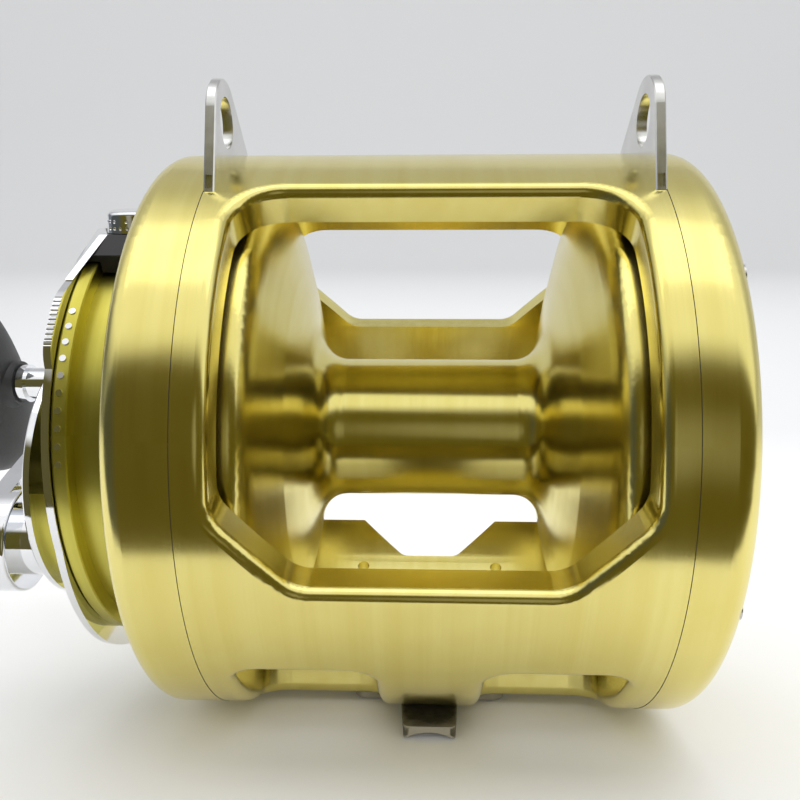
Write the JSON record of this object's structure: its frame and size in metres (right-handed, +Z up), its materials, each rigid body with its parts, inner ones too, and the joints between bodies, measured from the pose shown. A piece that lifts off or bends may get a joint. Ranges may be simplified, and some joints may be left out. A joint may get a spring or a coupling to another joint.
{
  "type": "trolling reel",
  "caption": "Lever-drag trolling reel: gold cylindrical frame, wide spool, chrome crank handle and lever, harness lugs and rod foot.",
  "frame": {"origin": "centre of the two rod-clamp stud holes, on the underside of the foot", "axes": "+X along the spool axis away from the handle, +Y back towards the angler along the rod, +Z up"},
  "size_m": [0.2584, 0.1624, 0.1677],
  "materials": {
    "gold": "brushed gold anodised",
    "spool_gold": "fine turned gold anodised",
    "preset_gold": "satin gold anodised",
    "stainless": "polished",
    "foot": "satin, dark bronze-grey",
    "steel": "ground",
    "gears": "cut teeth",
    "bronze": "satin",
    "carbon": "woven carbon",
    "chrome": "mirror",
    "black": "black, slightly glossy",
    "grip": "satin black, rubberised"
  },
  "bodies": {
    "root": {"frame": "gold", "right_side_plate": "gold", "left_side_plate": "gold", "left_bearing_cap": "gold", "quadrant_housing": "gold", "quadrant_ring": "gold", "gear_boss": "gold", "harness_lug_right": "stainless", "harness_lug_left": "stainless", "reel_foot": "foot", "foot_screws": "steel", "right_plate_screws": "steel", "left_plate_screws": "steel", "left_cap_screws": "steel", "cover_screws": "steel", "pinion_bearings": "steel", "gear_shaft_bearings": "steel", "pawl_pins": "steel", "pawl_springs": "steel", "cam_balls": "steel", "cam_plate": "steel", "detent_studs": "steel", "left_shaft_bush": "bronze", "gear_cover_plate": "chrome"},
    "lever": {"drag_lever": "chrome", "lever_shoe": "black", "lever_cam": "steel"},
    "knob": {"lever_knob": "chrome"},
    "shaft": {"spool_shaft": "steel", "thrust_bearing": "steel", "preset_washers": "steel"},
    "preset": {"preset_knob": "preset_gold"},
    "spool": {"spool": "spool_gold", "spool_bearings": "steel", "drag_washer": "carbon", "click_gear": "steel"},
    "pinion": {"pinion": "gears", "drive_plate": "steel"},
    "handle": {"gear_shaft": "steel", "shift_key": "steel", "high_speed_gear": "gears", "ratchet": "steel", "handle_collar": "chrome", "handle_arm": "chrome", "handle_nut": "chrome", "handle_lock_screw": "steel", "grip_post": "chrome", "grip_screw": "steel", "shift_spring": "steel"},
    "low_gear": {"low_speed_gear": "gears"},
    "grip": {"handle_grip": "grip", "grip_cap": "grip"},
    "shift": {"shift_button": "chrome"},
    "click": {"click_button": "black"},
    "pawl_front": {"pawl_front": "steel"},
    "pawl_rear": {"pawl_rear": "steel"}
  },
  "joints": [
    {"name": "lever_swing", "type": "hinge", "parent": "root", "child": "lever", "pos_m": [-0.089, -0.008, 0.08], "axis": [1, 0, 0], "range_deg": [-92, 56]},
    {"name": "knob_turn", "type": "hinge", "parent": "lever", "child": "knob", "pos_m": [-0.078, -0.04172, 0.13184], "axis": [0, -0.309, 0.9511], "range_deg": [0, 270]},
    {"name": "shaft_shift", "type": "slide", "parent": "root", "child": "shaft", "axis": [-1, 0, 0], "range_m": [-0.000569, 0.000351]},
    {"name": "preset_turn", "type": "hinge", "parent": "shaft", "child": "preset", "pos_m": [-0.106, -0.008, 0.08], "axis": [1, 0, 0], "range_deg": [-180, 180]},
    {"name": "spool_spin", "type": "hinge", "parent": "shaft", "child": "spool", "pos_m": [0, -0.008, 0.08], "axis": [1, 0, 0], "continuous": true},
    {"name": "handle_turn", "type": "hinge", "parent": "root", "child": "handle", "pos_m": [-0.06, -0.028, 0.04887], "axis": [1, 0, 0], "continuous": true},
    {"name": "pinion_turn", "type": "hinge", "parent": "root", "child": "pinion", "pos_m": [-0.058, -0.008, 0.08], "axis": [1, 0, 0], "continuous": true},
    {"name": "low_gear_turn", "type": "hinge", "parent": "root", "child": "low_gear", "pos_m": [-0.058, -0.028, 0.04887], "axis": [1, 0, 0], "continuous": true},
    {"name": "grip_spin", "type": "hinge", "parent": "handle", "child": "grip", "pos_m": [-0.17, 0.045, 0.0925], "axis": [1, 0, 0], "continuous": true},
    {"name": "shift_push", "type": "slide", "parent": "handle", "child": "shift", "axis": [1, 0, 0], "range_m": [0, 0.004], "stiffness_N_per_m": 1500, "springref_m": -0.0008, "deforming": ["shift_spring"]},
    {"name": "click_slide", "type": "slide", "parent": "root", "child": "click", "axis": [0, -0.8192, 0.5736], "range_m": [0, 0.004]},
    {"name": "pawl_front_lift", "type": "hinge", "parent": "root", "child": "pawl_front", "pos_m": [-0.0743, -0.03944, 0.06145], "axis": [1, 0, 0], "range_deg": [0, 8], "stiffness_Nm_per_rad": 0.02, "springref_deg": -1.72},
    {"name": "pawl_rear_lift", "type": "hinge", "parent": "root", "child": "pawl_rear", "pos_m": [-0.0743, -0.01181, 0.0437], "axis": [1, 0, 0], "range_deg": [0, 8], "stiffness_Nm_per_rad": 0.02, "springref_deg": -1.72}
  ],
  "couplings": [
    {"joint": "shaft_shift", "follows": "lever_swing", "m_per_rad": 0.00034842},
    {"joint": "pinion_turn", "follows": "handle_turn", "ratio": -2.5238},
    {"joint": "low_gear_turn", "follows": "handle_turn", "ratio": 1.9229}
  ]
}
